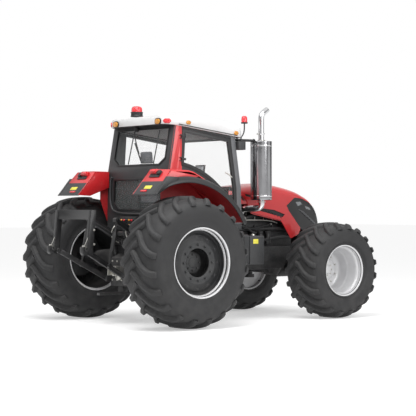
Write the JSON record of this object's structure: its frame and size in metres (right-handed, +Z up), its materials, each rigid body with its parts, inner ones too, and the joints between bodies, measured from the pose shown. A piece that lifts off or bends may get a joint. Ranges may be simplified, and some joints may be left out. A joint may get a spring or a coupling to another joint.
{
  "type": "farm tractor",
  "caption": "Four-wheel-drive farm tractor with a glazed cab, wide lugged tyres, upright exhaust, opening doors and hood, steered front wheels and a rear lifting quick hitch.",
  "frame": {"origin": "on the ground under the middle of the machine", "axes": "+Z up, the front towards -Y, the machine's left side towards +X"},
  "size_m": [3.722, 5.56, 3.5547],
  "materials": {
    "tyre_rubber": "matt black rubber",
    "rim_silver": "light grey silver paint",
    "cast_grey": "dark grey painted castings",
    "engine_black": "black paint, satin",
    "red_paint": "gloss red",
    "roof_silver": "light silver-grey paint",
    "grey_plastic": "dark grey moulded plastic",
    "black_plastic": "black moulded plastic",
    "window_glass": "tinted glass",
    "seat_cloth": "dark grey woven cloth",
    "chrome_pipe": "polished",
    "amber_lens": "clear amber and red lenses",
    "clear_lens": "clear lens over a bright reflector",
    "red_lens": "clear red lens on a black base",
    "linkage_black": "black paint, worn at the pins"
  },
  "bodies": {
    "chassis": {"transmission": "cast_grey", "rear_axle_housing": "cast_grey", "engine_block": "engine_black", "front_frame": "cast_grey", "front_bracket": "engine_black", "front_axle": "cast_grey", "cab_floor": "grey_plastic", "cab_frame": "red_paint", "rear_windows": "window_glass", "windshield": "window_glass", "roof": "roof_silver", "fender_left": "red_paint", "fender_right": "red_paint", "fender_bands": "grey_plastic", "seat": "seat_cloth", "console": "black_plastic", "hood_bulkhead": "engine_black", "radiator": "engine_black", "muffler": "chrome_pipe", "tailpipe": "chrome_pipe", "exhaust_elbow": "engine_black", "muffler_stay": "engine_black", "drawbar": "engine_black", "pto_shaft": "engine_black", "remote_valves": "engine_black", "battery_box": "grey_plastic", "tank_left": "grey_plastic", "tank_right": "grey_plastic", "steps": "grey_plastic", "roof_lamps": "amber_lens", "beacon": "red_lens", "work_lamps": "black_plastic", "marker_lamps": "red_lens"},
    "hood": {"hood": "red_paint", "grille": "black_plastic", "headlamps": "clear_lens"},
    "steering_wheel": {"steering_wheel": "black_plastic"},
    "lower_links": {"lower_links": "linkage_black"},
    "quick_hitch": {"quick_hitch": "linkage_black"},
    "top_link": {"top_link": "linkage_black"},
    "lift_arms": {"lift_arms": "linkage_black"},
    "lift_rods": {"lift_rods": "linkage_black"},
    "wheel_rear_left": {"tyre_rear_left": "tyre_rubber", "rim_rear_left": "rim_silver", "axle_shaft_left": "cast_grey"},
    "wheel_front_left": {"tyre_front_left": "tyre_rubber", "rim_front_left": "rim_silver", "hub_front_left": "rim_silver"},
    "steer_left": {"knuckle_left": "cast_grey"},
    "door_left": {"door_left": "black_plastic", "door_glass_left": "window_glass"},
    "wheel_rear_right": {"tyre_rear_right": "tyre_rubber", "rim_rear_right": "rim_silver", "axle_shaft_right": "cast_grey"},
    "wheel_front_right": {"tyre_front_right": "tyre_rubber", "rim_front_right": "rim_silver", "hub_front_right": "rim_silver"},
    "steer_right": {"knuckle_right": "cast_grey"},
    "door_right": {"door_right": "black_plastic", "door_glass_right": "window_glass"}
  },
  "joints": [
    {"name": "wheel_rear_left_spin", "type": "hinge", "parent": "chassis", "child": "wheel_rear_left", "pos_m": [1.424, 1.475, 1.025], "axis": [1, 0, 0], "continuous": true},
    {"name": "wheel_rear_right_spin", "type": "hinge", "parent": "chassis", "child": "wheel_rear_right", "pos_m": [-1.424, 1.475, 1.025], "axis": [1, 0, 0], "continuous": true},
    {"name": "steer_left", "type": "hinge", "parent": "chassis", "child": "steer_left", "pos_m": [0.915, -1.79, 0.81], "axis": [0, 0, 1], "range_deg": [-35, 35]},
    {"name": "steer_right", "type": "hinge", "parent": "chassis", "child": "steer_right", "pos_m": [-0.915, -1.79, 0.81], "axis": [0, 0, 1], "range_deg": [-35, 35]},
    {"name": "wheel_front_left_spin", "type": "hinge", "parent": "steer_left", "child": "wheel_front_left", "pos_m": [1.243, -1.79, 0.81], "axis": [1, 0, 0], "continuous": true},
    {"name": "wheel_front_right_spin", "type": "hinge", "parent": "steer_right", "child": "wheel_front_right", "pos_m": [-1.243, -1.79, 0.81], "axis": [1, 0, 0], "continuous": true},
    {"name": "steering_wheel_turn", "type": "hinge", "parent": "chassis", "child": "steering_wheel", "pos_m": [0, 0.31, 2.29], "axis": [0, 0.6, 0.8], "range_deg": [-540, 540]},
    {"name": "door_left_swing", "type": "hinge", "parent": "chassis", "child": "door_left", "pos_m": [0.854, 1.103, 2.82], "axis": [0, 0, 1], "range_deg": [0, 60]},
    {"name": "door_right_swing", "type": "hinge", "parent": "chassis", "child": "door_right", "pos_m": [-0.854, 1.103, 2.82], "axis": [0, 0, -1], "range_deg": [0, 60]},
    {"name": "hood_tilt", "type": "hinge", "parent": "chassis", "child": "hood", "pos_m": [0, -0.4, 2.212], "axis": [-1, 0, 0], "range_deg": [0, 55]},
    {"name": "hitch_lift", "type": "hinge", "parent": "chassis", "child": "lower_links", "pos_m": [0, 1.765, 0.72], "axis": [1, 0, 0], "range_deg": [-42, 3]},
    {"name": "quick_hitch_pivot", "type": "hinge", "parent": "lower_links", "child": "quick_hitch", "pos_m": [0, 2.615, 1.18], "axis": [1, 0, 0], "range_deg": [-3, 42]},
    {"name": "top_link_pivot", "type": "hinge", "parent": "chassis", "child": "top_link", "pos_m": [0, 1.645, 1.31], "axis": [1, 0, 0], "range_deg": [-42, 3]},
    {"name": "lift_arm_pivot", "type": "hinge", "parent": "chassis", "child": "lift_arms", "pos_m": [0, 1.625, 1.44], "axis": [1, 0, 0], "range_deg": [-42, 3]},
    {"name": "lift_rod_pivot", "type": "hinge", "parent": "lift_arms", "child": "lift_rods", "pos_m": [0, 2.05, 1.67], "axis": [1, 0, 0], "range_deg": [-3, 42]}
  ],
  "couplings": [
    {"joint": "steer_right", "follows": "steer_left", "ratio": 1},
    {"joint": "steering_wheel_turn", "follows": "steer_left", "ratio": 15},
    {"joint": "quick_hitch_pivot", "follows": "hitch_lift", "ratio": -1},
    {"joint": "top_link_pivot", "follows": "hitch_lift", "ratio": 1},
    {"joint": "lift_arm_pivot", "follows": "hitch_lift", "ratio": 1},
    {"joint": "lift_rod_pivot", "follows": "hitch_lift", "ratio": -1}
  ]
}
